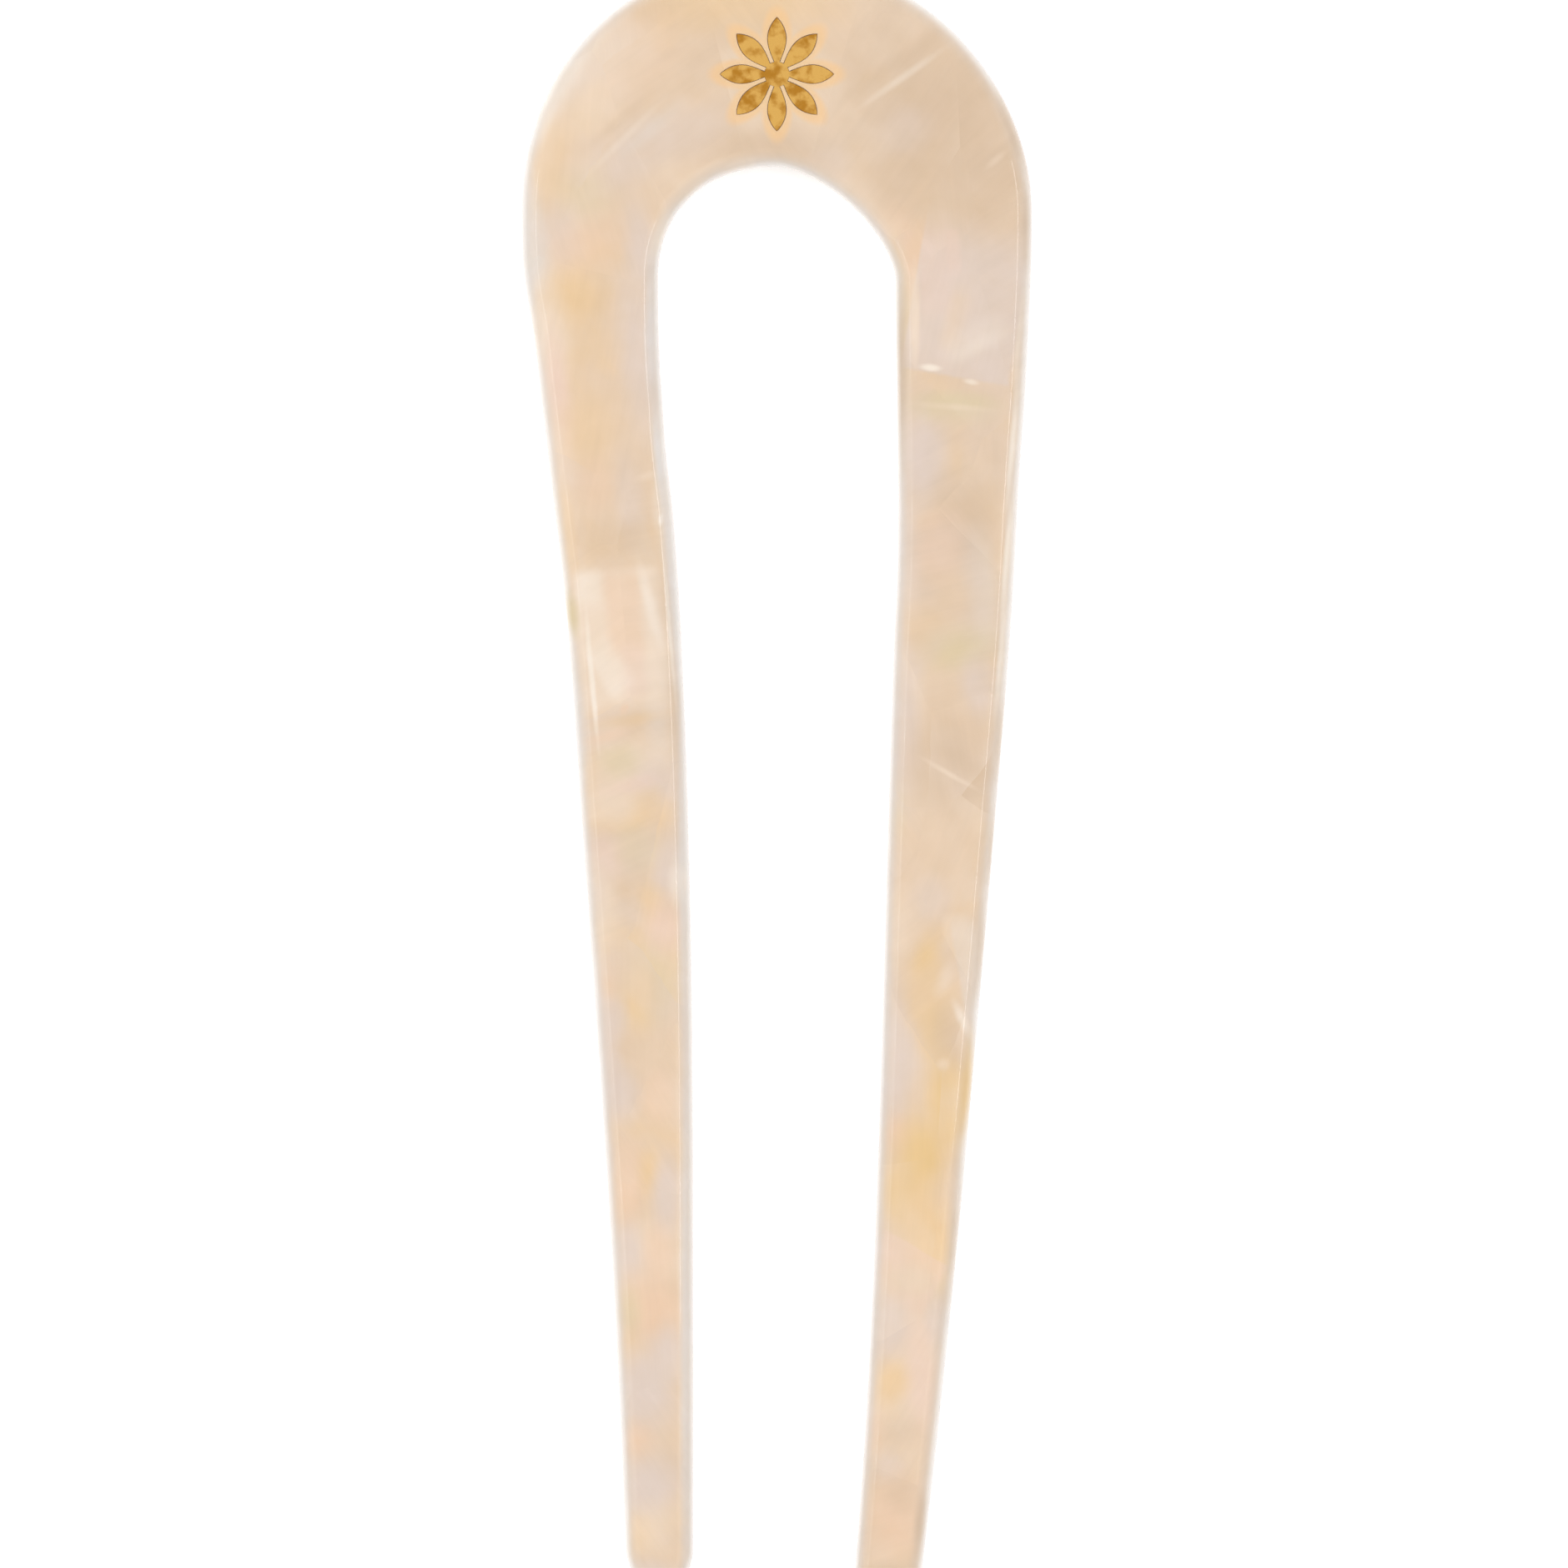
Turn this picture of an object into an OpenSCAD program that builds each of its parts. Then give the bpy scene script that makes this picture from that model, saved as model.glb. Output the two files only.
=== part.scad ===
// French hair pin: a flat U cut from one sheet of cellulose acetate, with polished round
// edges, two tapering legs and a small gold rosette stamped into the face of the crown.
// It lies on its back, stamp up, crown towards +Y. Lengths are in millimetres.

/* [Overall] */
// Length from the top of the crown to the end of the right leg
pin_length = 114; // [95:0.5:150]
// Width across the crown at its widest
crown_w = 35.2; // [31:0.1:44]
// Thickness of the sheet that the pin is cut from
sheet_t = 4; // [3:0.1:6]
// Radius of the polished round along every edge
edge_r = 1.1; // [0.4:0.05:1.4]

/* [Crown] */
// Depth of the crown from its top down to the top of the arch
crown_depth = 14.4; // [12.4:0.1:18]
// Height of the arch from the foot of its curve to its top
arch_rise = 7.8; // [5:0.1:11]
// Fullness of the crown's left shoulder, where 2 is an ellipse and more is squarer
left_shoulder = 2.1; // [1.7:0.05:2.6]
// Fullness of the crown's right shoulder
right_shoulder = 1.95; // [1.7:0.05:2.6]
// Fullness of the arch's left half
left_arch = 2.2; // [1.5:0.05:2.6]
// Fullness of the arch's right half, which is cut flatter
right_arch = 1.57; // [1.5:0.01:2.6]

/* [Legs] */
// Width of the gap between the legs at the foot of the arch
gap_w = 16.4; // [12:0.1:20]
// Width of each leg where its tip begins
tip_w = 4.65; // [4:0.05:6.5]
// Length over which each tip rounds off
tip_round = 3.2; // [2.4:0.1:5]
// From the centreline of the pin to the middle of the left tip
left_tip_x = 8.1; // [6.5:0.05:10]
// From the centreline of the pin to the middle of the right tip
right_tip_x = 7.75; // [6.5:0.05:10]
// How much sooner the left leg ends than the right
left_short = 1.2; // [0:0.1:6]

/* [Stamp] */
// Width across the rosette
stamp_d = 7.8; // [6:0.1:9]
// How far the middle of the rosette lies below the middle of the crown's depth
stamp_low = 0.9; // [0:0.1:1.2]
// Number of petals
petals = 8; // [6:1:10]
// Width of a petal
petal_w = 1.25; // [0.8:0.05:1.4]
// Width across the round centre that joins the petals
centre_d = 1.7; // [1.4:0.1:2.4]
// Depth that the stamp presses the rosette into the face
stamp_depth = 0.3; // [0.25:0.05:0.6]
// Thickness of the gold foil
foil_t = 0.15; // [0.1:0.05:0.2]
// Clearance round and under the foil
foil_gap = 0.05; // [0.03:0.01:0.08]

/* [Hidden] */

// Steps round each quarter of the crown and of the arch above it, along each edge of a leg,
// round half a tip, and round the polish of an edge
crown_steps = 24;
leg_steps = 24;
tip_steps = 8;
round_steps = 4;
$fn = 32;

LEFT = -1;
RIGHT = 1;
top_y = pin_length / 2;
shoulder_y = top_y - crown_w / 2;
arch_top_y = top_y - crown_depth;
arch_foot_y = arch_top_y - arch_rise;
stamp_y = top_y - crown_depth / 2 - stamp_low;
stamp_floor = sheet_t - stamp_depth;
// The round stays inside the sheet's thickness and the bend at the end of a tip
tip_bend_r = pow(tip_w / 2, 2) / tip_round;
round_r = min(edge_r, 0.45 * sheet_t, 0.9 * tip_bend_r);

// How each leg's two edges draw inward. Columns: share of the edge's length below its top,
// share of the outer edge's whole move inward there, and the same of the inner edge.
ALONG = 0;
OUTER = 1;
INNER = 2;
left_leg = [
    [0.00, 0.00, 0.00],
    [0.10, 0.13, 0.13],
    [0.20, 0.28, 0.47],
    [0.30, 0.43, 0.69],
    [0.45, 0.57, 0.88],
    [0.60, 0.71, 0.97],
    [0.80, 0.88, 1.00],
    [1.00, 1.00, 1.00],
];
right_leg = [
    [0.00, 0.00, 0.00],
    [0.10, 0.04, -0.04],
    [0.20, 0.12, -0.06],
    [0.30, 0.19, 0.06],
    [0.45, 0.34, 0.21],
    [0.60, 0.50, 0.35],
    [0.80, 0.73, 0.59],
    [1.00, 1.00, 1.00],
];

// Slope of a column at a row. It is 0 at the top, where the edge leaves the crown or the arch
function slope(rows, column, i) =
    i == 0 ? 0 :
    let (below = min(i + 1, len(rows) - 1))
    (rows[below][column] - rows[i - 1][column]) / (rows[below][ALONG] - rows[i - 1][ALONG]);

// Value of a column at a share of the edge, on a smooth curve through the rows
function smooth(rows, column, share, i = 0) =
    i < len(rows) - 2 && share > rows[i + 1][ALONG] ? smooth(rows, column, share, i + 1) :
    let (
        span = rows[i + 1][ALONG] - rows[i][ALONG],
        u = (share - rows[i][ALONG]) / span,
        start = rows[i][column] * (1 + 2 * u) + span * slope(rows, column, i) * u,
        end = rows[i + 1][column] * (3 - 2 * u) - span * slope(rows, column, i + 1) * (1 - u)
    )
    start * pow(1 - u, 2) + end * pow(u, 2);

// Points of an edge from its top at [x0, y0] to the tip's start at [x1, y1]
function edge(rows, column, x0, x1, y0, y1) = [
    for (k = [0:leg_steps])
        let (share = k / leg_steps)
        [x0 + (x1 - x0) * smooth(rows, column, share), y0 + (y1 - y0) * share]
];

// A quarter curve from its side at [a, y0] to its top at [0, y0 + b]
function quarter(a, b, y0, fullness) = [
    for (k = [0:crown_steps])
        let (turn = 90 * k / crown_steps)
        [a * pow(cos(turn), 2 / fullness), y0 + b * pow(sin(turn), 2 / fullness)]
];

// A tip, from the outer edge round to the inner one, in line with the leg above it
function tip(x, y, lean) = [
    for (k = [0:2 * tip_steps])
        let (turn = 90 * k / tip_steps)
        [x + lean * tip_round * sin(turn) + tip_w / 2 * cos(turn), y - tip_round * sin(turn)]
];

function reversed(list) = [for (i = [len(list) - 1:-1:0]) list[i]];
function after_first(list) = [for (i = [1:len(list) - 1]) list[i]];
function before_last(list) = [for (i = [0:len(list) - 2]) list[i]];

// Half of the outline, from the top of the crown down the outer edge, round the tip and
// up the inner edge to the top of the arch
function half(side, rows, shoulder, arch, tip_x, end_y) =
    let (
        tip_y = end_y + tip_round,
        outer = edge(rows, OUTER, crown_w / 2, tip_x + tip_w / 2, shoulder_y, tip_y),
        inner = edge(rows, INNER, gap_w / 2, tip_x - tip_w / 2, arch_foot_y, tip_y),
        middle = (outer + inner) / 2,
        last = middle[leg_steps] - middle[leg_steps - 1],
        points = concat(
            reversed(quarter(crown_w / 2, crown_w / 2, shoulder_y, shoulder)),
            after_first(outer),
            after_first(tip(tip_x, tip_y, -last[0] / last[1])),
            after_first(reversed(inner)),
            after_first(quarter(gap_w / 2, arch_rise, arch_foot_y, arch))
        )
    )
    [for (p = points) [side * p[0], p[1]]];

// The whole outline, anticlockwise from the top of the crown
outline = concat(
    half(LEFT, left_leg, left_shoulder, left_arch, left_tip_x, -top_y + left_short),
    before_last(after_first(reversed(
        half(RIGHT, right_leg, right_shoulder, right_arch, right_tip_x, -top_y)
    )))
);
count = len(outline);

function unit(v) = v / norm(v);

// Direction into the sheet at an outline point, square to the edge
function inward(i) =
    let (
        before = unit(outline[i] - outline[(i + count - 1) % count]),
        after = unit(outline[(i + 1) % count] - outline[i]),
        along = unit(before + after)
    )
    [-along[1], along[0]];
inwards = [for (i = [0:count - 1]) inward(i)];

// Levels of the round, from the back face up to the side. Columns: inset, height
round_levels = [
    for (k = [0:round_steps])
        let (turn = 90 * k / round_steps)
        [round_r * (1 - sin(turn)), round_r * (1 - cos(turn))]
];
levels = concat(
    round_levels,
    [for (level = reversed(round_levels)) [level[0], sheet_t - level[1]]]
);

// A face of the sheet, as strips from the outer edge straight across to the inner edge.
// Point 0 is the top of the crown, and the top of the arch is half way round the outline
function across(first) = [
    for (k = [0:count / 4 - 1])
        for (strip = [[k, k + 1, count / 2 - k - 1, count / 2 - k],
                      [count / 2 + k, count / 2 + k + 1, count - k - 1, (count - k) % count]])
            [for (i = strip) first + i]
];

// The sheet as a closed skin: the outline at each level, walls between levels, two faces
module sheet() {
    points = [
        for (level = levels)
            for (i = [0:count - 1])
                let (p = outline[i] + level[0] * inwards[i])
                [p[0], p[1], level[1]]
    ];
    walls = [
        for (j = [0:len(levels) - 2])
            for (i = [0:count - 1])
                let (a = j * count, b = a + count, next = (i + 1) % count)
                [a + i, b + i, b + next, a + next]
    ];
    back = across(0);
    face = [for (strip = across((len(levels) - 1) * count)) reversed(strip)];
    polyhedron(points, concat(back, walls, face), convexity = 6);
}

// One petal along +X: a slim root in the round centre, a full belly and a small round tip
module petal() {
    root_d = 0.35 * petal_w;
    tip_d = 0.2 * petal_w;
    belly_x = stamp_d / 2 - 1.2 * petal_w;
    hull() {
        translate([centre_d / 4, 0])
            circle(d = root_d);
        translate([belly_x, 0])
            circle(d = petal_w);
        translate([stamp_d / 2 - tip_d / 2, 0])
            circle(d = tip_d);
    }
}

// The rosette as a block of some height, grown all round by a clearance
module rosette(height, grow) {
    linear_extrude(height)
        offset(delta = grow) {
            circle(d = centre_d);
            for (k = [0:petals - 1])
                rotate(90 + 360 * k / petals)
                    petal();
        }
}

// Crown and legs, one piece, with the bed of the stamp pressed into the face
module pin() {
    color([0.93, 0.83, 0.70])
        difference() {
            sheet();
            translate([0, stamp_y, stamp_floor])
                rosette(2 * stamp_depth, foil_gap);
        }
}

// Gold foil lying in its bed, a little below the face
module foil_rosette() {
    color([0.84, 0.63, 0.26])
        translate([0, stamp_y, stamp_floor + foil_gap])
            rosette(foil_t, 0);
}

pin();
foil_rosette();
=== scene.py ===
"""A french hair pin of marbled pearl acetate, lying on its back on a white table.

The pin and its gold rosette are worked out by Geometry Nodes from the sizes below, in metres,
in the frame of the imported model: +Y towards the crown, +Z out of the stamped face.
"""

import math

import bpy
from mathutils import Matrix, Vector


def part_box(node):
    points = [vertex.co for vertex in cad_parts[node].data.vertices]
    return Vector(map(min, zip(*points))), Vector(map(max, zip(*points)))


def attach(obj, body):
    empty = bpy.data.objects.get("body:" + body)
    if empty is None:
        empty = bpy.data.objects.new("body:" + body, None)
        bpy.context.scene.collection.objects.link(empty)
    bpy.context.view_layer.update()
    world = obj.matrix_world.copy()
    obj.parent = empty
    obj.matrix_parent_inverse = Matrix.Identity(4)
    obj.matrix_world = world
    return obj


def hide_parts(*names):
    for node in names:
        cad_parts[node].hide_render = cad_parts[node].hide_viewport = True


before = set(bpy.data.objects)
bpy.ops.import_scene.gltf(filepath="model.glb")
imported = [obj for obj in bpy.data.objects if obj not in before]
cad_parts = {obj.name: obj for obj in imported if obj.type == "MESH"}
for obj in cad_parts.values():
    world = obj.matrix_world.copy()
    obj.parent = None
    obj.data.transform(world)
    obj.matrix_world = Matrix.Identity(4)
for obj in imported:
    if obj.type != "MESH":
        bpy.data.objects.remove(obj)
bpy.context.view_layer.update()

MM = 0.001
BODY = "root"

# The sheet, from the frame
pin_low, pin_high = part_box("pin")
CROWN_W = pin_high.x - pin_low.x
TOP_Y = pin_high.y
SHEET_T = pin_high.z - pin_low.z
END_Y = pin_low.y

# Crown and arch
CROWN_DEPTH = 14.4 * MM
ARCH_RISE = 7.8 * MM
GAP_W = 16.4 * MM
SHOULDER_Y = TOP_Y - CROWN_W / 2
ARCH_FOOT_Y = TOP_Y - CROWN_DEPTH - ARCH_RISE

# Legs
TIP_W = 4.65 * MM
TIP_ROUND = 3.2 * MM
LEFT_SHORT = 1.2 * MM

# How far the polish rounds the edges: in across the face, and down the side
POLISH_IN_CROWN = 1.3 * MM
POLISH_IN_TIP = 1.1 * MM
POLISH_DOWN = 1.15 * MM

# The rosette, from the frame
foil_low, foil_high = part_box("foil_rosette")
ROSETTE_R = (foil_high.x - foil_low.x) / 2
ROSETTE_Y = (foil_high.y + foil_low.y) / 2
FOIL_TOP = foil_high.z
FOIL_T = foil_high.z - foil_low.z
FOIL_GAP = 0.05 * MM
BED_FLOOR = foil_low.z - FOIL_GAP
PETALS = 8
PETAL_W = 1.25 * MM
CENTRE_R = 0.85 * MM
PETAL_BELLY = 1.27
PETAL_FULLNESS = 0.85

# How each side's edges run. The leg rows hold the share of the edge's length below its top,
# the share of the outer edge's move inward there, and the same of the inner edge.
SIDES = {
    "left": {
        "sign": -1,
        "shoulder": 2.1,
        "arch": 2.2,
        "tip_x": 8.1 * MM,
        "end_y": END_Y + LEFT_SHORT,
        "leg": [
            (0.00, 0.00, 0.00),
            (0.10, 0.13, 0.13),
            (0.20, 0.28, 0.47),
            (0.30, 0.43, 0.69),
            (0.45, 0.57, 0.88),
            (0.60, 0.71, 0.97),
            (0.80, 0.88, 1.00),
            (1.00, 1.00, 1.00),
        ],
    },
    "right": {
        "sign": 1,
        "shoulder": 1.95,
        "arch": 1.57,
        "tip_x": 7.75 * MM,
        "end_y": END_Y,
        "leg": [
            (0.00, 0.00, 0.00),
            (0.10, 0.04, -0.04),
            (0.20, 0.12, -0.06),
            (0.30, 0.19, 0.06),
            (0.45, 0.34, 0.21),
            (0.60, 0.50, 0.35),
            (0.80, 0.73, 0.59),
            (1.00, 1.00, 1.00),
        ],
    },
}

# The two edges of each half: its column in the leg rows, the width and the foot of the curve that
# it leaves, that curve's fullness, and on which side of the tip's middle it ends
EDGES = {
    "outer": {"column": 1, "width": CROWN_W, "foot": SHOULDER_Y, "fullness": "shoulder", "side": 0.5},
    "inner": {"column": 2, "width": GAP_W, "foot": ARCH_FOOT_Y, "fullness": "arch", "side": -0.5},
}

# Stations along a half of the pin, and points round a section
CROWN_STATIONS = 72
LEG_STATIONS = 150
TIP_STATIONS = 28
STATIONS = CROWN_STATIONS + LEG_STATIONS + TIP_STATIONS
SECTION_POINTS = 120
PETAL_STEPS = 20
# Share of a quarter of a section that its flat side takes, and where its flat face begins
WALL_END = 0.1
FACE_START = 0.5

# Points nearer than this are joined into one: in a block, and where the two halves meet
WELD = 0.001 * MM
HALVES_WELD = 0.002 * MM
# Edges that turn more than this, in degrees, stay sharp
CORNER_TURN = 35


class Wire:
    """The end of a link in a node tree, which can be used in sums as a number can."""

    def __init__(self, net, socket):
        self.net = net
        self.socket = socket

    @property
    def is_vector(self):
        return self.socket.type == "VECTOR"

    def __add__(self, other):
        return self.net.join("ADD", self, other)

    def __radd__(self, other):
        return self.net.join("ADD", other, self)

    def __sub__(self, other):
        return self.net.join("SUBTRACT", self, other)

    def __rsub__(self, other):
        return self.net.join("SUBTRACT", other, self)

    def __mul__(self, other):
        return self.net.join("MULTIPLY", self, other)

    def __rmul__(self, other):
        return self.net.join("MULTIPLY", self, other)

    def __truediv__(self, other):
        return self.net.join("DIVIDE", self, other)

    def __rtruediv__(self, other):
        return self.net.join("DIVIDE", other, self)

    def __pow__(self, other):
        return self.net.math("POWER", self, other)

    def __lt__(self, other):
        return self.net.math("LESS_THAN", self, other)

    def __gt__(self, other):
        return self.net.math("GREATER_THAN", self, other)


class Net:
    """A node tree that is written down as formulas."""

    def __init__(self, tree):
        self.tree = tree

    def feed(self, socket, value):
        if isinstance(value, Wire):
            self.tree.links.new(value.socket, socket)
        else:
            socket.default_value = value

    def node(self, kind, inputs=None, **settings):
        """Adds a node. inputs maps a socket's name or place to a value or a wire."""
        made = self.tree.nodes.new(kind)
        for name, value in settings.items():
            setattr(made, name, value)
        usable = [s for s in made.inputs if not s.is_unavailable]
        for key, value in (inputs or {}).items():
            found = usable[key] if isinstance(key, int) else next(s for s in usable if s.name == key)
            self.feed(found, value)
        return made

    def out(self, kind, inputs=None, output=0, **settings):
        """Adds a node and returns one of its outputs."""
        made = self.node(kind, inputs, **settings)
        usable = [s for s in made.outputs if not s.is_unavailable]
        if isinstance(output, int):
            return Wire(self, usable[output])
        return Wire(self, next(s for s in usable if s.name == output))

    def math(self, operation, *values, **settings):
        return self.out("ShaderNodeMath", dict(enumerate(values)), operation=operation, **settings)

    def vector_math(self, operation, *values):
        return self.out("ShaderNodeVectorMath", dict(enumerate(values)), operation=operation)

    def join(self, operation, a, b):
        """Two numbers or two vectors in one sum, or a vector times a number."""
        a_is_vector = isinstance(a, tuple) or isinstance(a, Wire) and a.is_vector
        b_is_vector = isinstance(b, tuple) or isinstance(b, Wire) and b.is_vector
        if a_is_vector and b_is_vector:
            return self.vector_math(operation, a, b)
        if not a_is_vector and not b_is_vector:
            return self.math(operation, a, b)
        vector, number = (a, b) if a_is_vector else (b, a)
        is_colour = isinstance(number, Wire) and number.socket.type == "RGBA"
        if operation != "MULTIPLY" or is_colour:
            raise TypeError(f"{operation} can't join a vector with this")
        return self.scaled(vector, number)

    def scaled(self, vector, number):
        """A vector or a colour times a number. A colour given as the number counts as its grey."""
        return self.out("ShaderNodeVectorMath", {"Vector": vector, "Scale": number}, operation="SCALE")

    def sin(self, turn):
        return self.math("SINE", turn)

    def cos(self, turn):
        return self.math("COSINE", turn)

    def clamp(self, value):
        return self.math("ADD", value, 0.0, use_clamp=True)

    def vector(self, x, y, z=0.0):
        return self.out("ShaderNodeCombineXYZ", {0: x, 1: y, 2: z})

    def parts(self, vector):
        kind = "ShaderNodeSeparateXYZ" if vector.is_vector else "ShaderNodeSeparateColor"
        made = self.node(kind, {0: vector})
        return [Wire(self, s) for s in made.outputs]

    def pick(self, test, if_false, if_true, kind="FLOAT"):
        return self.out("GeometryNodeSwitch", {0: test, 1: if_false, 2: if_true}, input_type=kind)

    def mix(self, share, a, b, kind="FLOAT"):
        return self.out("ShaderNodeMix", {0: share, "A": a, "B": b}, data_type=kind)

    def smooth_step(self, value, low, high, start=0.0, end=1.0):
        return self.out(
            "ShaderNodeMapRange",
            {"Value": value, "From Min": low, "From Max": high, "To Min": start, "To Max": end},
            interpolation_type="SMOOTHSTEP",
            clamp=False,
        )

    def curve(self, value, points):
        """A smooth curve through a few points."""
        made = self.node("ShaderNodeFloatCurve", {"Value": value})
        mapping = made.mapping
        mapping.use_clip = False
        line = mapping.curves[0]
        line.points[0].location = points[0]
        line.points[1].location = points[-1]
        for x, y in points[1:-1]:
            line.points.new(x, y)
        mapping.update()
        return Wire(self, made.outputs[0])


NUMBER, WHOLE, SHAPE = "NodeSocketFloat", "NodeSocketInt", "NodeSocketGeometry"


def new_geometry_tree(name, inputs):
    """A Geometry Nodes tree with named inputs and one shape as its result, and the inputs' wires."""
    tree = bpy.data.node_groups.new(name, "GeometryNodeTree")
    for label, kind in inputs:
        tree.interface.new_socket(label, in_out="INPUT", socket_type=kind)
    tree.interface.new_socket("Geometry", in_out="OUTPUT", socket_type=SHAPE)
    net = Net(tree)
    start = net.node("NodeGroupInput")
    given = {s.name: Wire(net, s) for s in start.outputs if s.name}
    return net, given


def end_tree(net, result):
    net.node("NodeGroupOutput", {0: result})


def end_piece(net, shape, material):
    """Ends the tree of a whole piece, as real geometry in its material."""
    real = net.out("GeometryNodeRealizeInstances", {"Geometry": shape})
    end_tree(net, net.out("GeometryNodeSetMaterial", {"Geometry": real, "Material": material}))


def mesh_from_tree(name, net, values):
    """Runs a tree on an empty mesh and returns the result as a plain mesh object."""
    holder = bpy.data.objects.new(name + "_maker", bpy.data.meshes.new(name + "_maker"))
    bpy.context.collection.objects.link(holder)
    modifier = holder.modifiers.new(name, "NODES")
    modifier.node_group = net.tree
    for item in net.tree.interface.items_tree:
        if item.in_out == "INPUT" and item.name in values:
            modifier[item.identifier] = values[item.name]
    done = holder.evaluated_get(bpy.context.evaluated_depsgraph_get())
    mesh = bpy.data.meshes.new_from_object(done)
    bpy.data.objects.remove(holder)
    mesh.name = name
    piece = bpy.data.objects.new(name, mesh)
    bpy.context.collection.objects.link(piece)
    return piece


# Attributes of the pin's mesh: the tone of the sheet, and how far round its polish a point lies
TONE = "tone"
ROUNDING = "rounding"


def edge_tree(name, rows, column):
    """Points of one edge of a half, from the top of its curve down the leg to the end of the tip.

    The curve is a quarter of a superellipse, the leg leans in as its rows say, and the tip is a
    quarter of an ellipse in line with the leg.
    """
    net, given = new_geometry_tree(
        name,
        [
            ("Half width", NUMBER),
            ("Rise", NUMBER),
            ("Foot", NUMBER),
            ("Fullness", NUMBER),
            ("Tip middle", NUMBER),
            ("Tip half", NUMBER),
            ("Tip start", NUMBER),
            ("Tip round", NUMBER),
            ("Lean", NUMBER),
            ("Sign", NUMBER),
        ],
    )
    index = net.out("GeometryNodeInputIndex")
    quarter_turn = math.pi / 2

    turn = net.clamp(1 - index / CROWN_STATIONS) * quarter_turn
    power = 2 / given["Fullness"]
    curve_x = given["Half width"] * net.cos(turn) ** power
    curve_y = given["Foot"] + given["Rise"] * net.sin(turn) ** power

    share = net.clamp((index - CROWN_STATIONS) / LEG_STATIONS)
    # The second row mirrored above the first makes the edge leave its curve in line with it
    points = [(-rows[1][0], rows[1][column])] + [(row[0], row[column]) for row in rows]
    eased = net.curve(share, points)
    leg_end = given["Tip middle"] + given["Tip half"]
    leg_x = given["Half width"] + (leg_end - given["Half width"]) * eased
    leg_y = given["Foot"] + (given["Tip start"] - given["Foot"]) * share

    turn = net.clamp((index - CROWN_STATIONS - LEG_STATIONS) / TIP_STATIONS) * quarter_turn
    drop = given["Tip round"] * net.sin(turn)
    tip_x = given["Tip middle"] + given["Lean"] * drop + given["Tip half"] * net.cos(turn)
    tip_y = given["Tip start"] - drop

    on_leg = index > CROWN_STATIONS
    on_tip = index > CROWN_STATIONS + LEG_STATIONS
    x = net.pick(on_tip, net.pick(on_leg, curve_x, leg_x), tip_x)
    y = net.pick(on_tip, net.pick(on_leg, curve_y, leg_y), tip_y)
    line = net.out("GeometryNodeMeshLine", {"Count": STATIONS + 1})
    place = net.vector(x * given["Sign"], y)
    end_tree(net, net.out("GeometryNodeSetPosition", {"Geometry": line, "Position": place}))
    return net


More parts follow.
